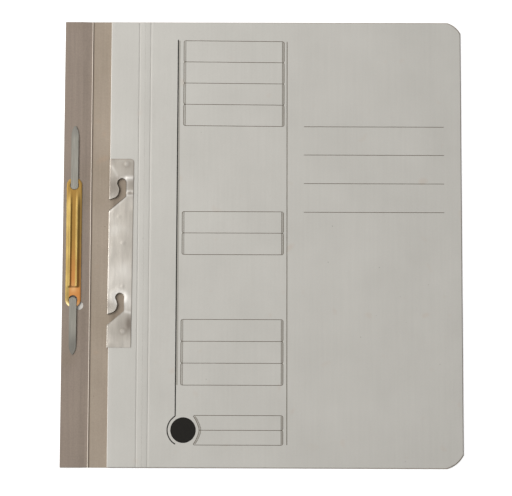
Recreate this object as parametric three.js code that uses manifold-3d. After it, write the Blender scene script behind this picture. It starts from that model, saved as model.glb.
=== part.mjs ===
// Cardboard fastener folder with a metal hook plate for hanging in a lever arch binder.
// Millimetres. X runs right across the closed folder, Y runs up the sheet, Z comes up off the table.
// The origin is the middle of the folder's footprint, on the table.
// The folder lies closed, with its fastener flap folded out to the left.

import * as THREE from 'three';
import { mergeVertices } from 'three/addons/utils/BufferGeometryUtils.js';
import Module from 'manifold-3d';

const wasm = await Module();
wasm.setup();

// Card
const sheetHeight = 312;
const cardThickness = 0.4;
const flapWidth = 19.3;
const hingeStripShowing = 13;
const hookStripWidth = 20.2;
const spineWidth = 8;
const coverWidth = 218;
const coverInset = 0.5;
const upperCorner = { across: 9.2, down: 7.7 };
const lowerCorner = { across: 11.3, down: 9.4 };
const cornerRadius = 14;
const creaseGap = 0.1;
const creaseRise = 0.22;
const creaseReach = 0.55;
const layerClearance = 0.05;
const slideClearance = 0.1;

// Tongue: the front sheet is folded double at its hook edge and glued down behind the hooks
const tongueReach = 6.5;
const glueThickness = 0.1;
const glueInset = 0.5;
const tongueStepRun = 2;
const tongueStepInset = 1;

// Hook plate
const plateThickness = 0.2;
const plateWidth = 16.3;
const plateRearWidth = 14.5;
const plateLength = 131.9;
const plateCentre = -7.4;
const plateCorner = 3;
const seamUnderPlate = 2;

// Hook slots, measured from the folded edge and from the middle of each head
const slotPitch = 80;
const slotCentre = 1.5;
const slotHeadRadius = 3.1;
const slotHeadIn = 8.5;
const slotNeckIn = 6.9;
const slotNeckDrop = 4.6;
const slotToothIn = 3.85;
const slotToothDrop = 10.3;
const slotMouthTop = 11.8;
const slotMouthBottom = 19.5;
const slotBackDrop = 9.4;

// Fastener
const prongFromCrease = 11.6;
const prongPitch = 80;
const fastenerCentre = -0.2;
const barWidth = 10.7;
const barThickness = 0.35;
const barEndBeyondHole = 5.4;
const barHoleRadius = 3.1;
const ribHeight = 1.3;
const ribCentre = 2.45;
const ribHalfWidth = 2.1;
const ribLowerEnd = { at: 31.85, fade: 1.6 };
const ribUpperEnd = { at: 36.2, fade: 3.6 };
const webHeight = 0.45;
const prongWidth = 5;
const prongThickness = 0.35;
const prongRootInset = 1.6;
const prongUpperReach = 42.1;
const prongLowerReach = 38.3;
const prongTipTaper = 5.6;
const prongTipRadius = 0.9;
const prongRootCorner = 1;
const baseWidth = 7;
const baseThickness = 0.3;
const slitClearance = 0.2;
const backingWidth = 12.5;
const backingBeyondBase = 11;
const backingThickness = 0.15;
const flapStepRun = 3;
const flapStepInset = 0.8;
const punchRadius = 3.1;
const punchFromEdge = 11.7;
const punchBelowMiddle = 44.2;

const arcSteps = 10;

// Places across the folder, from the flap's free edge at the left
const totalWidth = flapWidth + hingeStripShowing + hookStripWidth + spineWidth + coverWidth;
const flapEdge = -totalWidth / 2;
const flapCrease = flapEdge + flapWidth;
const hookEdge = flapCrease + hingeStripShowing;
const spineCrease = hookEdge + hookStripWidth;
const coverCrease = spineCrease + spineWidth;
const openEdge = coverCrease + coverWidth;
const hiddenCrease = spineCrease;
const prongLine = flapCrease - prongFromCrease;

// Levels above the table
const backTop = cardThickness;
const plateBottom = backTop + slideClearance;
const tongueBottom = plateBottom + plateThickness + layerClearance;
const hookBottom = tongueBottom + cardThickness + layerClearance;
const hookTop = hookBottom + cardThickness;
const plateTop = hookTop + layerClearance + plateThickness;
const baseBottom = backingThickness + layerClearance;
const flapBottom = baseBottom + baseThickness + layerClearance;
const flapTop = flapBottom + cardThickness;
const barBottom = flapTop + slideClearance;
const barFlatTop = barBottom + barThickness;
const prongBottom = barFlatTop + slideClearance;

// Places along the folder
const holeOffset = prongPitch / 2;
const barHalfLength = holeOffset + barEndBeyondHole;
const prongRoot = holeOffset - prongRootInset;
const prongAxis = prongRoot + prongThickness;
const plateLow = plateCentre - plateLength / 2;
const plateHigh = plateCentre + plateLength / 2;

const cardGrey = new THREE.MeshStandardMaterial({ color: 0xbdbab2, roughness: 0.85, metalness: 0 });
const cardBrown = new THREE.MeshStandardMaterial({ color: 0x988b7b, roughness: 0.9, metalness: 0 });
const paperPale = new THREE.MeshStandardMaterial({ color: 0xc9c6c0, roughness: 0.9, metalness: 0 });
const glueClear = new THREE.MeshStandardMaterial({ color: 0xd8d2bd, roughness: 0.5, metalness: 0 });
const tinplate = new THREE.MeshStandardMaterial({ color: 0xc4c0b8, roughness: 0.35, metalness: 1 });
const brass = new THREE.MeshStandardMaterial({ color: 0xc2a24e, roughness: 0.35, metalness: 1 });
const enamel = new THREE.MeshStandardMaterial({ color: 0x9b9b8f, roughness: 0.5, metalness: 0.2 });

function toSolid(geometry) {
  const bare = geometry.clone();
  bare.deleteAttribute('normal');
  bare.deleteAttribute('uv');
  const merged = mergeVertices(bare, 1e-5);
  const mesh = new wasm.Mesh({
    numProp: 3,
    vertProperties: new Float32Array(merged.attributes.position.array),
    triVerts: new Uint32Array(merged.index.array),
  });
  return new wasm.Manifold(mesh);
}

function toGeometry(solid) {
  const mesh = solid.getMesh();
  const geometry = new THREE.BufferGeometry();
  geometry.setAttribute('position', new THREE.BufferAttribute(new Float32Array(mesh.vertProperties), 3));
  geometry.setIndex(new THREE.BufferAttribute(new Uint32Array(mesh.triVerts), 1));
  geometry.computeVertexNormals();
  return geometry;
}

// A plan outline in X and Y, raised from one level to another
function slab(shape, bottom, top) {
  const geometry = new THREE.ExtrudeGeometry(shape, { depth: top - bottom, bevelEnabled: false, curveSegments: arcSteps });
  geometry.translate(0, 0, bottom);
  return geometry;
}

// A section in X and Z, run along Y
function run(section, fromY, toY) {
  const length = toY - fromY;
  const geometry = new THREE.ExtrudeGeometry(section, { depth: length, bevelEnabled: false, curveSegments: arcSteps });
  geometry.rotateX(Math.PI / 2);
  geometry.translate(0, toY, 0);
  return geometry;
}

function shapeOf(points) {
  return new THREE.Shape(points.map(([x, y]) => new THREE.Vector2(x, y)));
}

function rectangle(x0, y0, x1, y1) {
  return shapeOf([[x0, y0], [x1, y0], [x1, y1], [x0, y1]]);
}

function roundedRectangle(x0, y0, x1, y1, radius) {
  const shape = new THREE.Shape();
  shape.moveTo(x0 + radius, y0);
  shape.lineTo(x1 - radius, y0);
  shape.absarc(x1 - radius, y0 + radius, radius, -Math.PI / 2, 0);
  shape.lineTo(x1, y1 - radius);
  shape.absarc(x1 - radius, y1 - radius, radius, 0, Math.PI / 2);
  shape.lineTo(x0 + radius, y1);
  shape.absarc(x0 + radius, y1 - radius, radius, Math.PI / 2, Math.PI);
  shape.lineTo(x0, y0 + radius);
  shape.absarc(x0 + radius, y0 + radius, radius, Math.PI, Math.PI * 1.5);
  return shape;
}

// Adds the bulging arc of a cut corner, counterclockwise between two points
function cornerArc(shape, from, to, radius) {
  const middle = new THREE.Vector2((from[0] + to[0]) / 2, (from[1] + to[1]) / 2);
  const chord = new THREE.Vector2(to[0] - from[0], to[1] - from[1]);
  const sagittaLeg = Math.sqrt(Math.max(radius * radius - chord.lengthSq() / 4, 0));
  const inward = new THREE.Vector2(-chord.y, chord.x).normalize();
  const centre = middle.addScaledVector(inward, sagittaLeg);
  const start = Math.atan2(from[1] - centre.y, from[0] - centre.x);
  const end = Math.atan2(to[1] - centre.y, to[0] - centre.x);
  shape.absarc(centre.x, centre.y, radius, start, end);
}

// A sheet's plan: square at its left edge, with arched cuts at both corners of its open edge
function coverPlan(x0, x1, halfHeight) {
  const shape = new THREE.Shape();
  shape.moveTo(x0, -halfHeight);
  shape.lineTo(x1 - lowerCorner.across, -halfHeight);
  cornerArc(shape, [x1 - lowerCorner.across, -halfHeight], [x1, -halfHeight + lowerCorner.down], cornerRadius);
  shape.lineTo(x1, halfHeight - upperCorner.down);
  cornerArc(shape, [x1, halfHeight - upperCorner.down], [x1 - upperCorner.across, halfHeight], cornerRadius);
  shape.lineTo(x0, halfHeight);
  return shape;
}

// The rise of the pressed ridge at a crease, at a distance from the crease
function ridge(distance) {
  return distance >= creaseReach ? 0 : creaseRise * 0.5 * (1 + Math.cos((Math.PI * distance) / creaseReach));
}

// Points along one panel's top, with half a ridge at each creased end
function panelLine(x0, x1, ridgeAtStart, ridgeAtEnd) {
  const steps = 4;
  const line = [];
  for (let i = 0; ridgeAtStart && i < steps; i += 1) {
    const distance = (creaseReach * i) / steps;
    line.push([x0 + distance, ridge(distance)]);
  }
  line.push([ridgeAtStart ? x0 + creaseReach : x0, 0]);
  line.push([ridgeAtEnd ? x1 - creaseReach : x1, 0]);
  for (let i = steps - 1; ridgeAtEnd && i >= 0; i -= 1) {
    const distance = (creaseReach * i) / steps;
    line.push([x1 - distance, ridge(distance)]);
  }
  return line;
}

function panelSection(x0, x1, bottom, ridgeAtStart, ridgeAtEnd) {
  const line = panelLine(x0, x1, ridgeAtStart, ridgeAtEnd);
  const under = line.map(([x, rise]) => [x, bottom + rise]);
  const over = line.map(([x, rise]) => [x, bottom + cardThickness + rise]).reverse();
  return shapeOf([...under, ...over]);
}

// A strip folded double round its left edge; each leg ends where its own points say
function foldedSection(edge, bottom, top, thickness, upperLeg, lowerLeg) {
  const outer = (top - bottom) / 2;
  const inner = outer - thickness;
  const centreX = edge + outer;
  const centreZ = (top + bottom) / 2;
  const points = [...lowerLeg.under];
  for (let i = 0; i <= arcSteps; i += 1) {
    const angle = -Math.PI / 2 - (Math.PI * i) / arcSteps;
    points.push([centreX + outer * Math.cos(angle), centreZ + outer * Math.sin(angle)]);
  }
  points.push(...upperLeg);
  for (let i = arcSteps; i >= 0; i -= 1) {
    const angle = -Math.PI / 2 - (Math.PI * i) / arcSteps;
    points.push([centreX + inner * Math.cos(angle), centreZ + inner * Math.sin(angle)]);
  }
  points.push(...lowerLeg.over);
  return shapeOf(points);
}

// One open hook slot: in at the folded edge, past the tooth and up to the round head
function hookSlot(headY) {
  const overrun = 2;
  const headX = hookEdge + slotHeadIn;
  const backX = headX + slotHeadRadius;
  const neckAngle = Math.PI * 1.22;
  const slot = new THREE.Shape();
  slot.moveTo(hookEdge - overrun, headY - slotMouthBottom);
  slot.lineTo(hookEdge, headY - slotMouthBottom);
  slot.lineTo(backX, headY - slotBackDrop);
  slot.lineTo(backX, headY);
  slot.absarc(headX, headY, slotHeadRadius, 0, neckAngle);
  slot.lineTo(hookEdge + slotNeckIn, headY - slotNeckDrop);
  slot.quadraticCurveTo(
    hookEdge + slotNeckIn - 0.4, headY - slotToothDrop + 1.2,
    hookEdge + slotToothIn, headY - slotToothDrop,
  );
  slot.lineTo(hookEdge, headY - slotMouthTop);
  slot.lineTo(hookEdge - overrun, headY - slotMouthTop);
  return toSolid(slab(slot, 0, plateTop + 1));
}

const upperSlotY = slotCentre + slotPitch / 2;
const lowerSlotY = slotCentre - slotPitch / 2;
const slots = hookSlot(upperSlotY).add(hookSlot(lowerSlotY));

function backCover() {
  return slab(coverPlan(hiddenCrease + creaseGap / 2, openEdge, sheetHeight / 2), 0, backTop);
}

function hingeStrip() {
  const section = panelSection(flapCrease + creaseGap / 2, hiddenCrease - creaseGap / 2, 0, true, false);
  return run(section, -sheetHeight / 2, sheetHeight / 2);
}

// The flap steps up over the fastener's base and comes down to the crease
function fastenerFlap() {
  const crease = flapCrease - creaseGap / 2;
  const stepEnd = crease - flapStepInset;
  const stepStart = stepEnd - flapStepRun;
  const ridgeLine = panelLine(stepEnd, crease, false, true).slice(1);
  const under = [[flapEdge, flapBottom], [stepStart, flapBottom], ...ridgeLine];
  const over = [...ridgeLine].reverse().map(([x, rise]) => [x, rise + cardThickness]);
  const section = shapeOf([...under, ...over, [stepStart, flapTop], [flapEdge, flapTop]]);
  let flap = toSolid(run(section, -sheetHeight / 2, sheetHeight / 2));
  for (const side of [1, -1]) {
    const inner = fastenerCentre + side * (prongRoot - slitClearance);
    const outer = fastenerCentre + side * (prongAxis + slitClearance);
    const half = prongWidth / 2 + slitClearance;
    const slit = rectangle(prongLine - half, Math.min(inner, outer), prongLine + half, Math.max(inner, outer));
    flap = flap.subtract(toSolid(slab(slit, 0, flapTop + 1)));
  }
  const punch = new THREE.Shape();
  punch.absarc(flapEdge + punchFromEdge, -punchBelowMiddle, punchRadius, 0, Math.PI * 2);
  return toGeometry(flap.subtract(toSolid(slab(punch, 0, flapTop + 1))));
}

// A stretch of the front sheet's left edge, folded double, with its tongue stepping down behind the hooks
function hookStrip(fromY, toY) {
  const crease = spineCrease - creaseGap / 2;
  const stepEnd = hiddenCrease - tongueStepInset;
  const stepStart = stepEnd - tongueStepRun;
  const tongueEnd = hiddenCrease + tongueReach;
  const gluedBottom = backTop + glueThickness;
  const lowerLeg = {
    under: [[tongueEnd, gluedBottom], [stepEnd, gluedBottom], [stepStart, tongueBottom]],
    over: [
      [stepStart, tongueBottom + cardThickness],
      [stepEnd, gluedBottom + cardThickness],
      [tongueEnd, gluedBottom + cardThickness],
    ],
  };
  const line = panelLine(crease - creaseReach, crease, false, true).slice(1);
  const upperLeg = [
    ...line.map(([x, rise]) => [x, hookTop + rise]),
    ...[...line].reverse().map(([x, rise]) => [x, hookBottom + rise]),
  ];
  const foldEdge = hookEdge + plateThickness + layerClearance;
  const section = foldedSection(foldEdge, tongueBottom, hookTop, cardThickness, upperLeg, lowerLeg);
  return toGeometry(toSolid(run(section, fromY, toY)).subtract(slots));
}

function tongueGlue() {
  const halfHeight = sheetHeight / 2 - coverInset - glueInset;
  const plan = rectangle(hiddenCrease + glueInset, -halfHeight, hiddenCrease + tongueReach - glueInset, halfHeight);
  return slab(plan, backTop, backTop + glueThickness);
}

function hookPlate() {
  const rearEnd = hookEdge + plateRearWidth;
  const lowerLeg = { under: [[rearEnd, plateBottom]], over: [[rearEnd, plateBottom + plateThickness]] };
  const frontEnd = hookEdge + plateWidth;
  const upperLeg = [[frontEnd, plateTop], [frontEnd, plateTop - plateThickness]];
  const section = foldedSection(hookEdge, plateBottom, plateTop, plateThickness, upperLeg, lowerLeg);
  const wrap = toSolid(run(section, plateLow, plateHigh));
  const overhang = 2 * plateCorner;
  const plan = roundedRectangle(hookEdge - overhang, plateLow, frontEnd, plateHigh, plateCorner);
  return toGeometry(wrap.intersect(toSolid(slab(plan, 0, plateTop + 1))).subtract(slots));
}

function spineStrip() {
  const section = panelSection(spineCrease + creaseGap / 2, coverCrease - creaseGap / 2, hookBottom, true, true);
  const halfHeight = sheetHeight / 2 - coverInset;
  return run(section, -halfHeight, halfHeight);
}

function frontCover() {
  const left = coverCrease + creaseGap / 2;
  const right = openEdge - coverInset;
  const halfHeight = sheetHeight / 2 - coverInset;
  const sheet = toSolid(run(panelSection(left, right, hookBottom, true, false), -halfHeight, halfHeight));
  return toGeometry(sheet.intersect(toSolid(slab(coverPlan(left - 1, right, halfHeight), 0, plateTop + 1))));
}

function backingStrip() {
  const halfLength = prongRoot + backingBeyondBase;
  const plan = rectangle(
    prongLine - backingWidth / 2, fastenerCentre - halfLength,
    prongLine + backingWidth / 2, fastenerCentre + halfLength,
  );
  return slab(plan, 0, backingThickness);
}

// A steel strip under the flap, with both ends bent up through the slits
function fastenerBase() {
  const strip = rectangle(
    prongLine - baseWidth / 2, fastenerCentre - prongAxis,
    prongLine + baseWidth / 2, fastenerCentre + prongAxis,
  );
  let base = toSolid(slab(strip, baseBottom, baseBottom + baseThickness));
  for (const side of [1, -1]) {
    const inner = fastenerCentre + side * prongRoot;
    const outer = fastenerCentre + side * prongAxis;
    const riser = rectangle(
      prongLine - prongWidth / 2, Math.min(inner, outer),
      prongLine + prongWidth / 2, Math.max(inner, outer),
    );
    base = base.add(toSolid(slab(riser, baseBottom, prongBottom - layerClearance)));
  }
  return toGeometry(base);
}

// One prong, folded flat over the bar's end; side is 1 for the upper and -1 for the lower
function prong(side, reach) {
  const half = prongWidth / 2;
  const root = prongAxis + layerClearance;
  const tip = holeOffset + reach;
  const shoulder = tip - prongTipTaper;
  const plan = new THREE.Shape();
  plan.moveTo(-half + prongRootCorner, root);
  plan.lineTo(half - prongRootCorner, root);
  plan.quadraticCurveTo(half, root, half, root + prongRootCorner);
  plan.lineTo(half, shoulder);
  plan.quadraticCurveTo(half, tip - prongTipRadius * 2, prongTipRadius, tip - prongTipRadius / 2);
  plan.quadraticCurveTo(0, tip + prongTipRadius / 2, -prongTipRadius, tip - prongTipRadius / 2);
  plan.quadraticCurveTo(-half, tip - prongTipRadius * 2, -half, shoulder);
  plan.lineTo(-half, root + prongRootCorner);
  plan.quadraticCurveTo(-half, root, -half + prongRootCorner, root);
  const geometry = slab(plan, prongBottom, prongBottom + prongThickness);
  if (side < 0) {
    geometry.rotateZ(Math.PI);
  }
  geometry.translate(prongLine, fastenerCentre, 0);
  return geometry;
}

// How far the bar's sheet is pressed up, across the bar and along it
function barPress(x, y) {
  const away = Math.abs(Math.abs(x) - ribCentre);
  const rib = away < ribHalfWidth ? ribHeight * 0.5 * (1 + Math.cos((Math.PI * away) / ribHalfWidth)) : 0;
  const web = Math.abs(x) < ribCentre ? webHeight : 0;
  const end = y > 0 ? ribUpperEnd : ribLowerEnd;
  const fade = THREE.MathUtils.clamp((end.at - Math.abs(y)) / end.fade, 0, 1);
  return Math.max(rib, web) * fade;
}

// The bar is a pressed sheet: a grid of columns across and rows along, closed round its rim
function pressedSheet(columns, rows) {
  const positions = [];
  for (const lift of [0, barThickness]) {
    for (const y of rows) {
      for (const x of columns) {
        positions.push(x, y, barPress(x, y) + lift);
      }
    }
  }
  const across = columns.length;
  const layer = across * rows.length;
  const at = (i, j, top) => j * across + i + (top ? layer : 0);
  const index = [];
  const quad = (a, b, c, d) => index.push(a, b, c, a, c, d);
  for (let j = 0; j + 1 < rows.length; j += 1) {
    for (let i = 0; i + 1 < across; i += 1) {
      quad(at(i, j, true), at(i + 1, j, true), at(i + 1, j + 1, true), at(i, j + 1, true));
      quad(at(i, j, false), at(i, j + 1, false), at(i + 1, j + 1, false), at(i + 1, j, false));
    }
  }
  for (let i = 0; i + 1 < across; i += 1) {
    const end = rows.length - 1;
    quad(at(i, 0, false), at(i + 1, 0, false), at(i + 1, 0, true), at(i, 0, true));
    quad(at(i + 1, end, false), at(i, end, false), at(i, end, true), at(i + 1, end, true));
  }
  for (let j = 0; j + 1 < rows.length; j += 1) {
    const end = across - 1;
    quad(at(0, j + 1, false), at(0, j, false), at(0, j, true), at(0, j + 1, true));
    quad(at(end, j, false), at(end, j + 1, false), at(end, j + 1, true), at(end, j, true));
  }
  const geometry = new THREE.BufferGeometry();
  geometry.setAttribute('position', new THREE.Float32BufferAttribute(positions, 3));
  geometry.setIndex(index);
  return geometry;
}

function compressorBar() {
  const columnCount = 40;
  const halfWidth = barWidth / 2;
  const columns = Array.from({ length: columnCount + 1 }, (_, i) => -halfWidth + (barWidth * i) / columnCount);
  const rows = [
    -barHalfLength, -ribLowerEnd.at, ribLowerEnd.fade - ribLowerEnd.at,
    ribUpperEnd.at - ribUpperEnd.fade, ribUpperEnd.at, barHalfLength,
  ];
  let bar = toSolid(pressedSheet(columns, rows));
  const plan = new THREE.Shape();
  plan.absarc(0, barHalfLength - halfWidth, halfWidth, 0, Math.PI);
  plan.absarc(0, halfWidth - barHalfLength, halfWidth, Math.PI, Math.PI * 2);
  bar = bar.intersect(toSolid(slab(plan, -1, ribHeight + 2)));
  for (const side of [1, -1]) {
    const hole = new THREE.Shape();
    hole.absarc(0, side * holeOffset, barHoleRadius, 0, Math.PI * 2);
    bar = bar.subtract(toSolid(slab(hole, -1, ribHeight + 2)));
  }
  const geometry = toGeometry(bar);
  geometry.translate(prongLine, fastenerCentre, barBottom);
  return geometry;
}

const folder = new THREE.Group();

function add(name, geometry, material) {
  const mesh = new THREE.Mesh(geometry, material);
  mesh.name = name;
  folder.add(mesh);
}

add('back_cover', backCover(), cardGrey);
add('hinge_strip', hingeStrip(), cardBrown);
add('fastener_flap', fastenerFlap(), cardBrown);
const coverHalfHeight = sheetHeight / 2 - coverInset;
add('hook_strip_upper', hookStrip(plateHigh - seamUnderPlate, coverHalfHeight), cardGrey);
add('hook_strip_middle', hookStrip(plateLow + seamUnderPlate, plateHigh - seamUnderPlate), cardGrey);
add('hook_strip_lower', hookStrip(-coverHalfHeight, plateLow + seamUnderPlate), cardGrey);
add('tongue_glue', tongueGlue(), glueClear);
add('hook_plate', hookPlate(), tinplate);
add('spine_strip', spineStrip(), cardGrey);
add('front_cover', frontCover(), cardGrey);
add('backing_strip', backingStrip(), paperPale);
add('fastener_base', fastenerBase(), enamel);
add('prong_upper', prong(1, prongUpperReach), enamel);
add('prong_lower', prong(-1, prongLowerReach), enamel);
add('compressor_bar', compressorBar(), brass);

export default folder;
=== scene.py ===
import math

import bmesh
import bpy
from mathutils import Matrix, Vector, noise


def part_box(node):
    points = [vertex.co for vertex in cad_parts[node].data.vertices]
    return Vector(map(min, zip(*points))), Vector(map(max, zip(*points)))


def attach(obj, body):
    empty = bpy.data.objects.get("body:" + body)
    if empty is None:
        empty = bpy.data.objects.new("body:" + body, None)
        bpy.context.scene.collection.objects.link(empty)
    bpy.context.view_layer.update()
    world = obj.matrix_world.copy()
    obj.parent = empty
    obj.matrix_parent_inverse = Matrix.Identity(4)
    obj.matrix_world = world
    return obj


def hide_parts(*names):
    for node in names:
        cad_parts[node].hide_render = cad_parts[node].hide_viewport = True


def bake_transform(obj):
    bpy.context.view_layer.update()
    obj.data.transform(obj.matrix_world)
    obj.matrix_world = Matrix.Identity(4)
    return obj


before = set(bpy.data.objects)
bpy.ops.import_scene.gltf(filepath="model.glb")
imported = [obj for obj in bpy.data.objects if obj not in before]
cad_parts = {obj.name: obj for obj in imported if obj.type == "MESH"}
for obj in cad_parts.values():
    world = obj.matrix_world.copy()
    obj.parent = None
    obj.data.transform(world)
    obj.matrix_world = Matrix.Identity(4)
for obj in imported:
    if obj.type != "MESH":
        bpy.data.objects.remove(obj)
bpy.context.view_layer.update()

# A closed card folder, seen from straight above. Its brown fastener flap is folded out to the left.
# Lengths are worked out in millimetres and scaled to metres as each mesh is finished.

MM = 0.001
# Thicknesses of the card, the tinplate, the bar, the prongs, the strip under the flap and the ink
CARD = 0.4
TINPLATE = 0.2
BAR = 0.35
PRONG = 0.35
BASE = 0.3
INK = 0.02
# How far the flat sheets' edges are rounded, and the clearance between metal and card
CARD_ROUNDING = 0.07
CLEARANCE = 0.05
# The slots' heads, the bar's holes and the punched hole are 6.2 mm wide, and two of a kind lie 80 mm apart
HOLE_RADIUS = 3.1
HALF_PITCH = 40.0
# Cutters reach from below the folder to well above it
CUT_BOTTOM = -1.0
CUT_TOP = 4.0
# The flap's crease stands up as a bead on the brown face
CREASE_RISE = 0.22
CREASE_REACH = 0.55
# The spine's two creases are scored from outside, as shallow grooves in the grey face
GROOVE_DEPTH = 0.2
GROOVE_REACH = 0.8
# Each corner's cut: its reach across and down, the radius of its curve and the number of its facets
LOWER_CORNER = (11.5, 9.4, 18.5, 9)
UPPER_CORNER = (9.1, 7.7, 16.0, 9)
PLATE_LOWER_CORNER = (0.8, 0.8, 0.8, 4)
PLATE_UPPER_CORNER = (2.2, 2.2, 2.2, 6)
# How much painted shade darkens the card under the hooks, where it shows through the slots
SLOT_SHADE = 0.55


def node_box(name):
    """A CAD node's lowest and highest corners, in millimetres."""
    low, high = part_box(name)
    return low / MM, high / MM


flap_low, flap_high = node_box("fastener_flap")
strip_low, strip_high = node_box("hinge_strip")
back_low, back_high = node_box("back_cover")
edge_low = node_box("hook_strip_middle")[0]
spine_low, spine_high = node_box("spine_strip")
cover_low, cover_high = node_box("front_cover")
plate_low, plate_high = node_box("hook_plate")
bar_low, bar_high = node_box("compressor_bar")
prong_low, prong_high = node_box("prong_upper")
base_low, base_high = node_box("fastener_base")
paper_low, paper_high = node_box("backing_strip")
lower_tip = node_box("prong_lower")[0].y

# Places across the folder. The back sheet's crease is hidden right under the spine's
flap_crease = (flap_high.x + strip_low.x) / 2
hidden_crease = (strip_high.x + back_low.x) / 2
spine_crease = hidden_crease
cover_crease = (spine_high.x + cover_low.x) / 2
hook_edge = plate_low.x
strip_middle = hook_edge + 4
spine_middle = (spine_crease + cover_crease) / 2
cover_half = cover_high.y
sheet_half = back_high.y
cover_top = spine_low.z + CARD
back_top = back_high.z
plate_top = plate_high.z
prong_line = (prong_low.x + prong_high.x) / 2
prong_half = (prong_high.x - prong_low.x) / 2
fastener_middle = (base_low.y + base_high.y) / 2


# Curves that the shapes and the marks share

def clamp(value):
    return min(max(value, 0.0), 1.0)


def ease(value):
    """A smooth rise from 0 to 1, level at both ends."""
    t = clamp(value)
    return t * t * (3 - 2 * t)


def bell(value, middle, width):
    return math.exp(-((value - middle) / width) ** 2)


def soft_step(value, place, sharpness):
    """0 below a place and 1 above it, or the other way round where the sharpness is negative."""
    return 1 / (1 + math.exp((place - value) * sharpness))


def hump(x, middles, reach):
    """1 at the nearest middle, falling in a smooth wave to 0 at its reach."""
    nearest = min((abs(x - middle) for middle in middles), default=reach)
    return 0.0 if nearest >= reach else 0.5 * (1 + math.cos(math.pi * nearest / reach))


def steps(start, end, size):
    count = max(1, round(abs(end - start) / size))
    return [start + (end - start) * i / count for i in range(count + 1)]


def arc_points(cx, cy, radius, start, end, count, height=None):
    """Points on an arc, from one angle in degrees to another. A height makes it part of an ellipse."""
    angles = [math.radians(start + (end - start) * i / count) for i in range(count + 1)]
    return [(cx + radius * math.cos(a), cy + (height or radius) * math.sin(a)) for a in angles]


def arc_between(a, b, radius, count):
    """Points on an arc that bulges to the right of the way from a to b."""
    a, b = Vector(a), Vector(b)
    chord = b - a
    leg = math.sqrt(max(radius * radius - chord.length_squared / 4, 0))
    centre = (a + b) / 2 + Vector((-chord.y, chord.x)).normalized() * leg
    start = math.degrees(math.atan2(a.y - centre.y, a.x - centre.x))
    turn = math.degrees(2 * math.asin(chord.length / 2 / radius))
    return arc_points(centre.x, centre.y, radius, start, start + turn, count)


# Material tools

def linear(code):
    """An sRGB hex colour as linear red, green, blue and alpha."""
    channels = [int(code[i:i + 2], 16) / 255 for i in (1, 3, 5)]
    return tuple(c / 12.92 if c <= 0.04045 else ((c + 0.055) / 1.055) ** 2.4 for c in channels) + (1.0,)


def add(tree, kind, inputs=None, stops=(), **settings):
    """Adds a node with its settings, the stops of a colour ramp, and its inputs. Each input is a value, a
    socket to join, or a node, which stands for the first of its outputs in use."""
    made = tree.nodes.new("ShaderNode" + kind)
    for key, value in settings.items():
        setattr(made, key, value)
    for key, value in (inputs or {}).items():
        if isinstance(value, bpy.types.Node):
            value = next(socket for socket in value.outputs if socket.enabled)
        if isinstance(value, bpy.types.NodeSocket):
            tree.links.new(value, made.inputs[key])
        else:
            made.inputs[key].default_value = value
    if stops:
        elements = made.color_ramp.elements
        while len(elements) < len(stops):
            elements.new(0.5)
        for element, (position, colour) in zip(elements, stops):
            element.position = position
            element.color = linear(colour) if isinstance(colour, str) else (colour, colour, colour, 1)
    return made


# A Mix node's settings. Its factor is input 0 and its two colours are inputs 6 and 7
TINT = {"data_type": "RGBA", "blend_type": "MIX"}
SHADE = {"data_type": "RGBA", "blend_type": "MULTIPLY"}


def empty_tree(owner):
    owner.use_nodes = True
    owner.node_tree.nodes.clear()
    return owner.node_tree


def new_material(name):
    """A material, its node tree, and the place on the piece that its patterns follow."""
    made = bpy.data.materials.new(name)
    tree = empty_tree(made)
    return made, tree, add(tree, "TexCoord").outputs["Object"]


def surface(made, inputs):
    """Ends a material with its shader."""
    shader = add(made.node_tree, "BsdfPrincipled", inputs)
    add(made.node_tree, "OutputMaterial", {"Surface": shader})
    return made


# Materials

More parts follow.
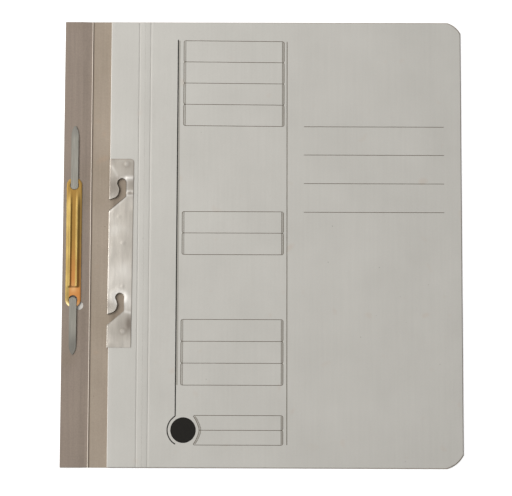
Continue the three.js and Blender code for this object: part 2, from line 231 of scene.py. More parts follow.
def card(name, base, pale, dark, bead, streak, fleck):
    """Recycled folder card: matt, pressed smooth, with its grain along the sheet's height."""
    made, tree, place = new_material(name)
    # Formation: soft clouds 30 to 60 mm across
    clouds = add(tree, "TexNoise", {"Vector": place, "Scale": 22.0, "Detail": 3.0, "Roughness": 0.55})
    colour = add(tree, "ValToRGB", {"Fac": clouds}, ((0.32, dark), (0.5, base), (0.7, pale)))
    # Grain: streaks 1 to 2 mm across and some 50 mm long
    stretched = add(tree, "Mapping", {"Vector": place, "Scale": (620.0, 20.0, 620.0)})
    grain = add(tree, "TexNoise", {"Vector": stretched, "Scale": 1.0, "Detail": 3.0})
    grain_tone = add(tree, "ValToRGB", {"Fac": grain}, ((0.3, 1.0 - streak), (0.7, 1.0)))
    colour = add(tree, "Mix", {0: 1.0, 6: colour, 7: grain_tone}, **SHADE)
    # Fibre: mottling about 1 mm across, drawn coarser than the real 0.3 mm so that it shows
    fibre = add(tree, "TexNoise", {"Vector": place, "Scale": 900.0, "Detail": 4.0, "Roughness": 0.7})
    fibre_tone = add(tree, "ValToRGB", {"Fac": fibre}, ((0.3, 1.0 - 1.6 * streak), (0.72, 1.0)))
    colour = add(tree, "Mix", {0: 1.0, 6: colour, 7: fibre_tone}, **SHADE)
    # Flecks of old print in the pulp, 0.5 mm wide and some 14 mm apart
    cells = add(tree, "TexVoronoi", {"Vector": place, "Scale": 70.0, "Randomness": 1.0})
    spots = add(tree, "ValToRGB", {"Fac": cells}, ((0.018, 1.0), (0.034, 0.0)))
    flecked = add(tree, "Mix", {0: 0.6, 6: colour, 7: linear(fleck)}, **TINT)
    colour = add(tree, "Mix", {0: spots, 6: colour, 7: flecked}, **TINT)
    # Rusty fibres tint it here and there, in faint patches 2 to 5 mm across
    rust = add(tree, "TexNoise", {"Vector": place, "Scale": 75.0, "Detail": 1.0})
    rusty = add(tree, "ValToRGB", {"Fac": rust}, ((0.7, 0.0), (0.82, 0.17)))
    colour = add(tree, "Mix", {0: rusty, 6: colour, 7: linear("#b78f6d")}, **TINT)
    # A bead's lit left flank and the folded edge get a painted highlight, partly burnished fibre
    highlight_mask = add(tree, "Attribute", attribute_name="bead", attribute_type="GEOMETRY").outputs["Fac"]
    top = add(tree, "ValToRGB", {"Fac": highlight_mask}, ((0.45, 0.0), (0.95, 1.0)))
    colour = add(tree, "Mix", {0: top, 6: colour, 7: linear(bead)}, **TINT)
    # Painted shade where the scored mark says: the dark side of the flap's crease bead, and the card seen
    # through the hook slots
    painted_shade = add(tree, "Attribute", attribute_name="scored", attribute_type="GEOMETRY").outputs["Fac"]
    colour = add(tree, "Mix", {0: painted_shade, 6: colour, 7: linear(fleck)}, **TINT)
    gloss = add(tree, "ValToRGB", {"Fac": fibre}, ((0.2, 0.74), (0.8, 0.9)))
    tooth = add(tree, "Bump", {"Height": fibre, "Strength": 0.35, "Distance": 0.00012})
    press = add(tree, "Bump", {"Height": clouds, "Strength": 0.15, "Distance": 0.0006, "Normal": tooth})
    return surface(made, {
        "Base Color": colour, "Roughness": gloss, "IOR": 1.45, "Specular IOR Level": 0.3, "Normal": press,
    })


# The folder's outside: grey, smoother and faintly cool
grey_card = card("grey_duplex_card", "#c2bfb8", "#c5c2bb", "#bfbcb5", "#e2dfd9", 0.025, "#8a857b")
# The folder's inside: brown-grey pulp, rougher, with stronger streaks
brown_card = card("brown_pulp_card", "#a49686", "#a99b8b", "#9f9180", "#dcd0c2", 0.08, "#6b5f52")
# The flap is the same card in a shaded copy: painted shade, as the flap tilts away from the lamp
shaded_flap_card = card("shaded_brown_pulp_card", "#94867a", "#998b7e", "#8f8173", "#dcd0c2", 0.1, "#6b5f52")
# Cut edges show the pulp between both sides
card_core = card("card_cut_edge", "#8f8475", "#978b7c", "#857a6c", "#8f8475", 0.05, "#6b5f52")


def metal(name, tones, patch_scale, roughness, scratch_scale, scratch_depth, dent_depth, marks):
    """Sheet metal: patches of tone, fine draw lines, and the tones of its marks where the mesh says."""
    made, tree, place = new_material(name)
    patches = add(tree, "TexNoise", {"Vector": place, "Scale": patch_scale, "Detail": 2.0, "Roughness": 0.45})
    colour = add(tree, "ValToRGB", {"Fac": patches}, tuple(zip((0.34, 0.5, 0.66), tones)))
    for mark, tone in marks:
        where = add(tree, "Attribute", attribute_name=mark, attribute_type="GEOMETRY").outputs["Fac"]
        colour = add(tree, "Mix", {0: where, 6: colour, 7: linear(tone)}, **TINT)
    drawn = add(tree, "Mapping", {"Vector": place, "Scale": scratch_scale})
    lines = add(tree, "TexNoise", {"Vector": drawn, "Scale": 1.0, "Detail": 4.0})
    line_tone = add(tree, "ValToRGB", {"Fac": lines}, ((0.3, 0.92), (0.7, 1.0)))
    colour = add(tree, "Mix", {0: 1.0, 6: colour, 7: line_tone}, **SHADE)
    gloss = add(tree, "ValToRGB", {"Fac": lines}, tuple(zip((0.25, 0.75), roughness)))
    fine = add(tree, "Bump", {"Height": lines, "Strength": 0.3, "Distance": scratch_depth})
    dents = add(tree, "Bump", {"Height": patches, "Strength": 0.2, "Distance": dent_depth, "Normal": fine})
    return surface(made, {"Base Color": colour, "Metallic": 1.0, "Roughness": gloss, "Normal": dents})


# Electrolytic tinplate, 0.2 mm: bright but not polished, faintly warm, with painted highlights, painted shade
# at its rims and a dark line along its slots.
# Its patches are 17 mm across. Its draw lines are 2 mm wide, coarser than the real ones, and 17 mm long
tinplate = metal(
    "bright_tinplate", ("#aaa49b", "#b3ada4", "#bbb6ae"), 60.0, (0.36, 0.44), (500.0, 60.0, 500.0),
    0.00002, 0.0004, (("painted_highlight", "#e8e4de"), ("shade_and_dull", "#7d756c"), ("slot_edge_line", "#3d362e")),
)
# Brass plating on pressed steel: satin, golden, coppery lower down, darker in its groove with patina and
# painted shade, and with a painted glint at the lower end. Its patches are
# 11 mm across, and its draw lines 0.7 mm wide and 22 mm long
brass = metal(
    "brass_plated_steel", ("#9b834f", "#a38b53", "#aa9359"), 90.0, (0.58, 0.66), (1500.0, 45.0, 1500.0),
    0.00003, 0.0002, (("patina_and_shade", "#94733c"), ("copper", "#b67f49"), ("painted_glint", "#f6e3b0")),
)


def enamel(name, tones):
    """Grey-green stove enamel on soft steel strip: half matt, with paler scuffs 1 mm wide and 17 mm long."""
    made, tree, place = new_material(name)
    along = add(tree, "Mapping", {"Vector": place, "Scale": (900.0, 60.0, 900.0)})
    scuffs = add(tree, "TexNoise", {"Vector": along, "Scale": 1.0, "Detail": 4.0})
    colour = add(tree, "ValToRGB", {"Fac": scuffs}, tuple(zip((0.3, 0.55, 0.8), tones)))
    # Both tips are darker, the lower one more: the range runs from tip to tip
    height = add(tree, "SeparateXYZ", {"Vector": place}).outputs["Y"]
    from_tip = add(tree, "MapRange", {"Value": height, "From Min": -0.078, "From Max": 0.082})
    tip_darkening = add(tree, "ValToRGB", {"Fac": from_tip}, (
        (0.0, 0.58), (0.045, 0.62), (0.11, 0.95), (0.14, 1.0), (0.94, 1.0), (0.965, 0.8), (1.0, 0.7),
    ))
    colour = add(tree, "Mix", {0: 1.0, 6: colour, 7: tip_darkening}, **SHADE)
    gloss = add(tree, "ValToRGB", {"Fac": scuffs}, ((0.3, 0.5), (0.8, 0.36)))
    bump = add(tree, "Bump", {"Height": scuffs, "Strength": 0.25, "Distance": 0.00006})
    return surface(made, {"Base Color": colour, "Roughness": gloss, "IOR": 1.5, "Normal": bump})


enamelled_steel = enamel("grey_green_enamelled_steel", ("#7f7c72", "#8a867c", "#959288"))
# The strip's hidden stretch is painted dark as shade, where it shows through the bar's holes
shadowed_steel = enamel("shadow_dark_enamelled_steel", ("#3f3b35", "#48443d", "#524d45"))


def mottled(name, pattern, tones, roughness, specular=0.5, relief=0.0):
    """A thin coat or sheet whose tone, gloss and relief follow one fine pattern."""
    made, tree, place = new_material(name)
    mottle = add(tree, "TexNoise", {"Vector": place, **pattern})
    colour = add(tree, "ValToRGB", {"Fac": mottle}, tones)
    gloss = add(tree, "ValToRGB", {"Fac": mottle}, roughness)
    inputs = {"Base Color": colour, "Roughness": gloss, "Specular IOR Level": specular}
    if relief:
        inputs["Normal"] = add(tree, "Bump", {"Height": mottle, "Strength": 0.3, "Distance": relief})
    return surface(made, inputs)


def ink(name, tone, thin):
    """Offset ink on matt card: it sinks in, so it is matt, and a little uneven at 0.7 mm."""
    return mottled(
        name, {"Scale": 1400.0, "Detail": 3.0},
        ((0.35, tone), (0.75, thin)), ((0.3, 0.55), (0.8, 0.75)), specular=0.15,
    )


line_ink = ink("printed_grey_line", "#544b3e", "#625a4d")
bold_ink = ink("printed_black_line", "#14120f", "#211e1a")
band_ink = ink("printed_grey_band", "#9d9991", "#a5a199")
# Pale gummed paper: matt, with fibres 1.2 mm long
backing_paper = mottled(
    "gummed_paper", {"Scale": 800.0, "Detail": 4.0, "Roughness": 0.7},
    ((0.3, "#bdb9b2"), (0.7, "#d2cfc9")), ((0.2, 0.8), (0.8, 0.92)), relief=0.0001,
)
# Dried starch glue: yellowish, a little glossy and uneven at 3 mm
dried_glue = mottled(
    "dried_starch_glue", {"Scale": 350.0, "Detail": 2.0},
    ((0.3, "#cdc3a4"), (0.7, "#ded7c0")), ((0.3, 0.3), (0.7, 0.5)),
)


def add_object(name, data):
    made = bpy.data.objects.new(name, data)
    bpy.context.scene.collection.objects.link(made)
    return made


def mesh_object(name, bm):
    """An object in the scene with a bmesh's shape. The bmesh is freed."""
    mesh = bpy.data.meshes.new(name)
    bm.to_mesh(mesh)
    bm.free()
    return add_object(name, mesh)


# Camera, from a fit of the folder's edges and creases to the photograph. It stands 1 m from its aim

camera = add_object("camera", bpy.data.cameras.new("camera"))
camera.data.sensor_width = 36.0
camera.data.lens = 100.768
camera.data.clip_end = 20.0
camera.rotation_euler = (math.radians(4.6255), math.radians(0.1772), math.radians(0.2049))
aim = Vector((-4.418, -3.675, 0.0)) * MM
camera.location = aim + camera.rotation_euler.to_matrix() @ Vector((0.0, 0.0, 1.0))
bpy.context.scene.camera = camera
bpy.context.scene.view_settings.view_transform = "Standard"


# Studio: a white floor that keeps the shadow, a pale room and one soft lamp at the upper left

bm = bmesh.new()
bmesh.ops.create_grid(bm, x_segments=1, y_segments=1, size=4.0)
bmesh.ops.translate(bm, vec=(0, 0, -0.00005), verts=bm.verts)
floor = mesh_object("floor", bm)

floor_paper = bpy.data.materials.new("white_studio_paper")
tree = empty_tree(floor_paper)
# The floor looks white to the camera, in a mirror and through clear material, and throws no light for it
path = add(tree, "LightPath").outputs
seen = add(tree, "Math", {0: path["Is Camera Ray"], 1: path["Is Glossy Ray"]}, operation="MAXIMUM")
seen = add(tree, "Math", {0: seen, 1: path["Is Transmission Ray"]}, operation="MAXIMUM")
lift = add(tree, "Math", {0: seen, 1: 0.42}, operation="MULTIPLY")
matt = add(tree, "BsdfDiffuse", {"Color": linear("#e6e6e6")})
glow = add(tree, "Emission", {"Color": linear("#ffffff"), "Strength": lift})
both = add(tree, "AddShader", {0: matt, 1: glow})
add(tree, "OutputMaterial", {"Surface": both})
floor.data.materials.append(floor_paper)

world = bpy.data.worlds.new("room")
bpy.context.scene.world = world
tree = empty_tree(world)
# The room is palest overhead and at the left, and dim at the right, as by a window
direction = add(tree, "TexCoord").outputs["Generated"]
side = add(tree, "VectorMath", {0: direction, 1: (-0.62, 0.22, 0.75)}, operation="DOT_PRODUCT")
room = add(tree, "ValToRGB", {"Fac": side}, ((0.0, 0.36), (0.4, 0.44), (0.68, 0.84), (0.95, 0.95)))
path = add(tree, "LightPath").outputs
# Diffuse light from the room is set apart from what metal mirrors
level = add(tree, "MapRange", {"Value": path["Is Diffuse Ray"], "To Min": 1.0, "To Max": 0.6})
lit = add(tree, "Background", {"Color": room, "Strength": level})
white = add(tree, "Background", {"Color": linear("#ffffff"), "Strength": 1.0})
shown = add(tree, "MixShader", {0: path["Is Camera Ray"], 1: lit, 2: white})
add(tree, "OutputWorld", {"Surface": shown})

lamp = add_object("softbox", bpy.data.lights.new("softbox", "AREA"))
lamp.data.shape = "RECTANGLE"
lamp.data.size = 0.95
lamp.data.size_y = 0.95
lamp.data.energy = 19.0
lamp.location = (-0.98, 0.32, 0.94)
lamp.rotation_euler = (-lamp.location).to_track_quat("-Z", "Y").to_euler()


# Mesh tools

def only_verts(parts):
    return [part for part in parts if isinstance(part, bmesh.types.BMVert)]


def run_section(line, rows, along_x=False):
    """A section in x and z, extruded along y through the rows, or one in y and z, extruded along x."""
    def place(across, along, z):
        return (along, across, z) if along_x else (across, along, z)

    bm = bmesh.new()
    verts = [bm.verts.new(place(across, rows[0], z)) for across, z in line]
    edges = [bm.edges.new(pair) for pair in zip(verts, verts[1:])]
    for here, there in zip(rows, rows[1:]):
        made = bmesh.ops.extrude_edge_only(bm, edges=edges)["geom"]
        edges = [part for part in made if isinstance(part, bmesh.types.BMEdge)]
        bmesh.ops.translate(bm, vec=place(0, there - here, 0), verts=only_verts(made))
    return bm


def clip(bm, point, normal):
    """Cuts away what lies beyond a plane."""
    geometry = bm.verts[:] + bm.edges[:] + bm.faces[:]
    bmesh.ops.bisect_plane(bm, geom=geometry, dist=1e-6, plane_co=point, plane_no=normal, clear_outer=True)


def clip_outline(bm, outline):
    """Cuts a sheet back along a bulging outline, given as points that run counterclockwise."""
    for a, b in zip(outline, outline[1:]):
        along = Vector((b[0] - a[0], b[1] - a[1], 0))
        clip(bm, (a[0], a[1], 0), (along.y, -along.x, 0))


def cut_corners(bm, right, bottom, top, lower, upper):
    """Takes off both corners of a sheet's right side."""
    across, down, radius, facets = lower
    clip_outline(bm, arc_between((right - across, bottom), (right, bottom + down), radius, facets))
    across, down, radius, facets = upper
    clip_outline(bm, arc_between((right, top - down), (right - across, top), radius, facets))


def thicken_down(bm, thickness):
    """Gives a sheet its thickness, straight down."""
    made = bmesh.ops.extrude_face_region(bm, geom=bm.faces[:])["geom"]
    bmesh.ops.translate(bm, vec=(0, 0, -thickness), verts=only_verts(made))
    bmesh.ops.recalc_face_normals(bm, faces=bm.faces[:])


def thicken_bent(bm, thickness, towards=(0, 0, 1)):
    """Gives a bent sheet its thickness, on the underside of the face that lies furthest that way."""
    bmesh.ops.recalc_face_normals(bm, faces=bm.faces[:])
    furthest = max(bm.faces, key=lambda face: face.calc_center_median().dot(Vector(towards)))
    if furthest.normal.z < 0:
        bmesh.ops.reverse_faces(bm, faces=bm.faces[:])
    bmesh.ops.solidify(bm, geom=bm.faces[:], thickness=thickness)
    bmesh.ops.recalc_face_normals(bm, faces=bm.faces[:])


def soften(bm, offset):
    """Rounds the edges that are sharper than 50 degrees."""
    sharp = [edge for edge in bm.edges if edge.is_manifold and edge.calc_face_angle() > math.radians(50)]
    bmesh.ops.bevel(
        bm, geom=sharp, offset=offset, segments=2, profile=0.5, affect="EDGES", material=-1,
        clamp_overlap=True,
    )


def finish(name, bm, materials):
    """Turns a bmesh in millimetres into a smooth-shaded object in metres."""
    bmesh.ops.scale(bm, vec=(MM, MM, MM), verts=bm.verts[:])
    piece = mesh_object(name, bm)
    for entry in materials:
        piece.data.materials.append(entry)
    piece.data.shade_smooth()
    piece.data.set_sharp_from_angle(angle=math.radians(20))
    return piece


def set_mark(piece, name, value, origin=(0.0, 0.0)):
    """Writes a mark on every vertex, from its place in millimetres past the origin."""
    mark = piece.data.attributes.new(name, "FLOAT", "POINT")
    mark.data.foreach_set("value", [
        value(v.co.x / MM - origin[0], v.co.y / MM - origin[1]) for v in piece.data.vertices
    ])


def cut_away(bm, cutters):
    """Subtracts closed bmeshes from a closed bmesh and returns the rest."""
    body, *tools = [mesh_object("cutter", solid) for solid in [bm] + cutters]
    for tool in tools:
        cutting = body.modifiers.new("cut", "BOOLEAN")
        cutting.operation = "DIFFERENCE"
        cutting.solver = "EXACT"
        cutting.object = tool
    bpy.context.view_layer.update()
    result = body.evaluated_get(bpy.context.evaluated_depsgraph_get()).to_mesh()
    rest = bmesh.new()
    rest.from_mesh(result)
    for made in [body] + tools:
        bpy.data.objects.remove(made)
    return rest


def plan_cutter(outline):
    """A closed prism over a flat outline."""
    bm = bmesh.new()
    face = bm.faces.new([bm.verts.new((x, y, CUT_BOTTOM)) for x, y in outline])
    made = bmesh.ops.extrude_face_region(bm, geom=[face])["geom"]
    bmesh.ops.translate(bm, vec=(0, 0, CUT_TOP - CUT_BOTTOM), verts=only_verts(made))
    bmesh.ops.recalc_face_normals(bm, faces=bm.faces[:])
    return bm


def hole_cutter(x, y):
    bm = bmesh.new()
    bmesh.ops.create_cone(
        bm, cap_ends=True, segments=48, radius1=HOLE_RADIUS, radius2=HOLE_RADIUS, depth=CUT_TOP - CUT_BOTTOM,
        matrix=Matrix.Translation((x, y, (CUT_TOP + CUT_BOTTOM) / 2)),
    )
    return bm


# Card sheets

def paint_card(piece, choose, highlight_line=()):
    """Gives each face the finish that choose picks by its middle and normal, and marks where a bead's or a
    fold's painted highlight lies.
    """
    for face in piece.data.polygons:
        face.material_index = choose(face.center / MM, face.normal)
    set_mark(piece, "bead", lambda x, y: hump(x, highlight_line, 0.5))


def by_side(middle, normal):
    """0 on upper faces, 1 on lower faces, 2 on cut edges."""
    return 0 if normal.z > 0.6 else 1 if normal.z < -0.6 else 2


def sheet_columns(low, high, creases, reach, extra=()):
    """Where a sheet is divided across: at its ends, closely at its creases, and at the extra places."""
    columns = {low, high, *extra}
    for crease in creases:
        columns.update(x for x in steps(crease - reach, crease + reach, reach / 5) if low < x < high)
    return sorted(columns)


def droop(x):
    """The cover's open side sinks by 0.72 mm, until it lies on the back cover."""
    return 0.72 * ease((x + 72.0) / 190.0)


def front_sheet_top(x):
    return cover_top - GROOVE_DEPTH * hump(x, (spine_crease, cover_crease), GROOVE_REACH) - droop(x)


def front_sheet(name, low, high, corners):
    """A stretch of the front sheet, with or without the open side's cut corners."""
    creases = (spine_crease, cover_crease)
    columns = sheet_columns(low, high, creases, GROOVE_REACH, steps(low, high, 6.0) if corners else ())
    bm = run_section([(x, front_sheet_top(x)) for x in columns], steps(-cover_half, cover_half, 12.0))
    if corners:
        cut_corners(bm, high, -cover_half, cover_half, LOWER_CORNER, UPPER_CORNER)
    thicken_down(bm, CARD)
    soften(bm, CARD_ROUNDING)
    piece = finish(name, bm, (grey_card, brown_card, card_core))
    paint_card(piece, by_side)
    return piece


spine_card = front_sheet("spine_card", spine_crease - 0.05, spine_middle, False)
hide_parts("spine_strip")
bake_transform(spine_card)

cover_card = front_sheet("cover_card", spine_middle, cover_high.x, True)
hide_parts("front_cover")
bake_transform(cover_card)

back_columns = steps(strip_middle, back_high.x, 12.0)
bm = run_section([(x, back_top) for x in back_columns], steps(-sheet_half, sheet_half, 16.0))
cut_corners(bm, back_high.x, -sheet_half, sheet_half, LOWER_CORNER, UPPER_CORNER)
thicken_down(bm, CARD)
soften(bm, CARD_ROUNDING)
back_card = finish("back_card", bm, (brown_card, grey_card, card_core))
paint_card(back_card, by_side)
# Painted shade on the card under the hooks, seen through the slots
set_mark(back_card, "scored", lambda x, y: SLOT_SHADE if x < strip_middle + 10 else 0.0)
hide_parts("back_cover")
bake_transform(back_card)

# The flap's crease has a scored line beside it, and the flap steps up from it onto the fastener's base
scored_line = flap_crease + 0.85
step_from = flap_crease - 0.85
step_to = step_from - 6.6


def flap_sheet_top(x):
    """The flap lies on the table at its crease and on the fastener's base further out."""
    bead = CREASE_RISE * hump(x, (flap_crease,), CREASE_REACH)
    scored = 0.16 * hump(x, (scored_line,), 0.65)
    return back_top + (flap_high.z - back_top) * ease((step_from - x) / (step_from - step_to)) + bead - scored


flap_columns = sheet_columns(
    flap_low.x, strip_middle, (flap_crease,), CREASE_REACH,
    steps(step_to, step_from, 0.5) + steps(flap_low.x, step_to, 4.0)
    + steps(flap_crease + 0.7, flap_crease + 1.6, 0.15) + steps(hook_edge + 0.2, strip_middle, 0.6),
)
bm = run_section([(x, flap_sheet_top(x)) for x in flap_columns], steps(-sheet_half, sheet_half, 8.0))
thicken_down(bm, CARD)
# Under the scored line the card is thinner, because it lies on the table
for vert in bm.verts:
    vert.co.z = max(vert.co.z, 0.0)
# One punched hole, and a slit for each prong that starts and ends so far from the fastener's middle
openings = [hole_cutter(flap_low.x + 11.7, -44.2)]
slit_start, slit_end = 36.95, 38.95
slit_half = prong_half + 0.2
for side in (1, -1):
    near = fastener_middle + side * slit_start
    far = fastener_middle + side * slit_end
    openings.append(plan_cutter([
        (prong_line - slit_half, near), (prong_line + slit_half, near),
        (prong_line + slit_half, far), (prong_line - slit_half, far),
    ]))
bm = cut_away(bm, openings)
soften(bm, CARD_ROUNDING)
flap_card = finish("flap_card", bm, (brown_card, grey_card, card_core, shaded_flap_card))


def flap_side(middle, normal):
    """As by_side, with the flap's own upper face apart from the hinge strip's, in the card's shaded copy."""
    side = by_side(middle, normal)
    return 3 if side == 0 and middle.x < flap_crease + 0.5 else side


# The crease bead's painted highlight lies on its left flank, which faces the lamp
paint_card(flap_card, flap_side, (flap_crease - 0.14,))
# Painted shade: the dark side beside the crease bead, away from the lamp, and the card under the hooks
set_mark(flap_card, "scored", lambda x, y: (
    0.75 * hump(x, (scored_line,), 0.9) + SLOT_SHADE * clamp((x - hook_edge - 0.2) / 3.0)
))
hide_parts("hinge_strip", "fastener_flap")
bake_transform(flap_card)


# Tinplate wrapped round the folded edge, with its two open hook slots

slot_heads = (1.5 + HALF_PITCH, 1.5 - HALF_PITCH)
head_x = hook_edge + 8.5


def slot_outline(head_y):
    """One open hook slot, from the folded edge past the tooth to the round head."""
    back_x = head_x + HOLE_RADIUS
    outline = [(hook_edge - 2, head_y - 19.5), (hook_edge, head_y - 19.5)]
    # The lower edge runs up in a straight line and turns into the back in a small round
    outline += [(back_x - 0.9, head_y - 10.15), (back_x - 0.25, head_y - 9.5), (back_x, head_y - 8.9)]
    outline += arc_points(head_x, head_y, HOLE_RADIUS, 0, 219, 24)
    neck = Vector((hook_edge + 6.9, head_y - 4.6))
    bend = Vector((hook_edge + 6.5, head_y - 9.1))
    tooth = Vector((hook_edge + 3.85, head_y - 10.3))
    for t in steps(0.0, 1.0, 0.1):
        point = neck * (1 - t) ** 2 + bend * 2 * t * (1 - t) + tooth * t * t
        outline.append((point.x, point.y))
    outline += [(hook_edge, head_y - 11.8), (hook_edge - 2, head_y - 11.8)]
    return outline


# How far in the plate's rear leg reaches
rear_leg = 14.5
fold_outer = (plate_top - plate_low.z) / 2
fold_x = hook_edge + fold_outer
fold_z = (plate_top + plate_low.z) / 2
plate_line = [(x, plate_low.z) for x in steps(hook_edge + rear_leg, fold_x, 1.6)[:-1]]
plate_line += arc_points(fold_x, fold_z, fold_outer, -90, -270, 10)
plate_line += [(x, plate_top) for x in steps(fold_x, plate_high.x - 0.6, 0.6)[1:]]
plate_line += [(plate_high.x - 0.3, plate_top), (plate_high.x, plate_top)]
bm = run_section(plate_line, steps(plate_low.y, plate_high.y, 0.7))
cut_corners(bm, plate_high.x, plate_low.y, plate_high.y, PLATE_LOWER_CORNER, PLATE_UPPER_CORNER)

# Staking dimples, pressed up from the rear: the place and size of each
DIMPLES = (
    (-95.1, 54.8, 0.9), (-99.9, 17.8, 0.7), (-96.6, -0.5, 0.9), (-96.6, -30.7, 0.7), (-95.8, -62.1, 1.1),
)
# Two short folds stand beside the upper slot
FOLDS = (45.0, 34.4)


def plate_shift(x, y):
    """The plate was pressed on 0.4 degrees askew, slots and all, and its long edges stand out a little."""
    left = clamp((hook_edge + 4.0 - x) / 4.0)
    right = clamp((x - plate_high.x + 3.5) / 3.5)
    return -0.12 - 0.00675 * (slot_heads[0] - y) - 0.28 * left + 0.65 * right


def leaning_slot(head_y):
    return [(x + plate_shift(x, y), y) for x, y in slot_outline(head_y)]


def beside_slot(x):
    """1 on the plate's right side, beside the slots, and 0 left of it."""
    return soft_step(x, plate_high.x - 4.4, 5)


def from_lower_head(x, y):
    return math.hypot(x - head_x, y - slot_heads[1])


def from_end_dimple(x, y):
    return min(math.hypot(x - cx, y - cy) for cx, cy, _ in (DIMPLES[0], DIMPLES[-1]))


slot_edges = [[Vector(point) for point in slot_outline(head)[1:17]] for head in slot_heads]


def from_slot(x, y):
    """How far a place lies from the slots' lower and right edges."""
    place = Vector((x, y))
    nearest = 9.0
    for edge in slot_edges:
        for a, b in zip(edge, edge[1:]):
            along = b - a
            part = clamp((place - a).dot(along) / along.length_squared)
            nearest = min(nearest, (place - a - along * part).length)
    return nearest


def plate_rise(x, y):
    """How far the thin metal stands up: its faint buckles, the two folds and the dimples."""
    edge = min(abs(plate_high.x - x), abs(y - plate_low.y), abs(plate_high.y - y), x - fold_x)
    keep = clamp(edge / 2.5)
    wave = noise.noise(Vector((x / 11.0, y / 17.0, 3.7))) + 0.3 * noise.noise(Vector((x / 5.0, y / 8.0, 9.1)))
    rise = 0.10 * max(wave + 0.35, 0.0) * keep
    for fold_y in FOLDS:
        rise += 0.18 * beside_slot(x) * bell(y, fold_y, 0.9)
    # The metal round the lower head is drawn down into the punched hole
    rise += 0.07 * keep * bell(from_lower_head(x, y), 5.4, 1.8)
    for cx, cy, size in DIMPLES:
        away = math.hypot(x - cx, y - cy) / size
        rise += 0.10 * bell(away, 0.8, 0.57735) - 0.02 * bell(away, 0.0, 1.0)
    return rise


def plate_painted_highlight(x, y):
    """Painted highlights where the plate's bends and strains would catch the light: round the lower head, on
    its right side, on the folds, below the lower slot, along a crease, in its middle, on the end dimples and
    on a lip beside the upper slot.
    """
    round_head = 0.5 * bell(from_lower_head(x, y), 3.6, 2.1) * soft_step(y, -43.5, 1.1)
    right_side = 0.4 * beside_slot(x) * bell(y, -41.0, 6.0)
    folds = 0.95 * bell(y, FOLDS[0], 1.4) * soft_step(x, plate_high.x - 6.0, 3)
    folds += beside_slot(x) * (0.6 * bell(y, FOLDS[1] + 1.3, 0.7) + 0.5 * bell(y, FOLDS[1] - 1.6, 0.7))
    past = x - hook_edge - 11.8
    below = (0.35 + 0.1 * past) * bell(y, -48.3 - 0.25 * past, 1.0) if past > 0 else 0.0
    # A painted highlight runs down like a crease from the upper left towards the upper head
    along = clamp((53.0 - y) / 6.3)
    crease = 0.4 * bell(math.hypot(x + 105.05 - 3.35 * along, y - 53.0 + 6.3 * along), 0.0, 0.9)
    middle = 0.22 * bell(y, -25.0, 10.0)
    dimples = 0.22 * bell(from_end_dimple(x, y), 0.0, 1.2)
    lip = 0.3 * bell(from_slot(x, y), 1.0, 0.5) if y > 0 else 0.0
    return min(round_head + right_side + folds + below + crease + middle + dimples + lip, 1.0)


def plate_shade_and_dull(x, y):
    """Where the plate is painted darker: painted shade along its right and top rims, on the folded edge and
    round the dimples, and a darker tone on the teeth, at the upper end and in patches.
    """
    rim = 0.8 * bell(x, plate_high.x, 0.3) + 0.5 * bell(y, plate_high.y, 0.5)
    # The folded edge is painted darker, to tone down its highlight
    rim += 0.55 * soft_step(x, fold_x, -8)
    ends = 0.05 * soft_step(y, -48.8, -4) + 0.3 * soft_step(y, 30.0, 0.5)
    patch = 0.5 * bell(x, plate_high.x - 1.6, 1.5) * bell(y, -56.5, 5.5)
    between = 0.2 * beside_slot(x) * bell(y, 40.0, 3.0)
    # Both teeth are darker, and so is the right side under the lower slot
    teeth = 0.5 * bell(y, 38.5, 7.5) * soft_step(x, hook_edge + 7.0, -2)
    teeth += 0.5 * bell(math.hypot(x - hook_edge - 1.2, y + 43.5), 0.0, 3.6)
    low_right = 0.55 * clamp((x - hook_edge - 5.0) / 9.0) * bell(y, -57.5, 8.5)
    dimples = 0.2 * bell(from_end_dimple(x, y), 2.2, 0.7)
    dimples += 0.6 * bell(math.hypot(x - plate_high.x + 2.1, y - FOLDS[1]), 0.0, 1.0)
    return min(rim + ends + patch + between + teeth + low_right + dimples, 1.0)


def plate_slot_edge_line(x, y):
    """1 on a dark line along the upper slot's lower and right edges, and 0.4 along the lower slot's."""
    return bell(from_slot(x, y), 0.0, 0.3) * (1.0 if y > 0 else 0.4)


for vert in bm.verts:
    if vert.co.z > plate_top - 0.01 and vert.co.x > fold_x:
        vert.co.z += plate_rise(vert.co.x, vert.co.y)
thicken_bent(bm, TINPLATE)
bm = cut_away(bm, [plan_cutter(slot_outline(head)) for head in slot_heads])
soften(bm, 0.04)
wrapped_plate = finish("wrapped_tinplate", bm, (tinplate,))
for mark, value in (("painted_highlight", plate_painted_highlight), ("shade_and_dull", plate_shade_and_dull), ("slot_edge_line", plate_slot_edge_line)):
    set_mark(wrapped_plate, mark, value)
for vert in wrapped_plate.data.vertices:
    vert.co.x += plate_shift(vert.co.x / MM, vert.co.y / MM) * MM
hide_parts("hook_plate")
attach(wrapped_plate, "back")


# The front sheet's hook edge, folded double, with its tongue running on down to the glue

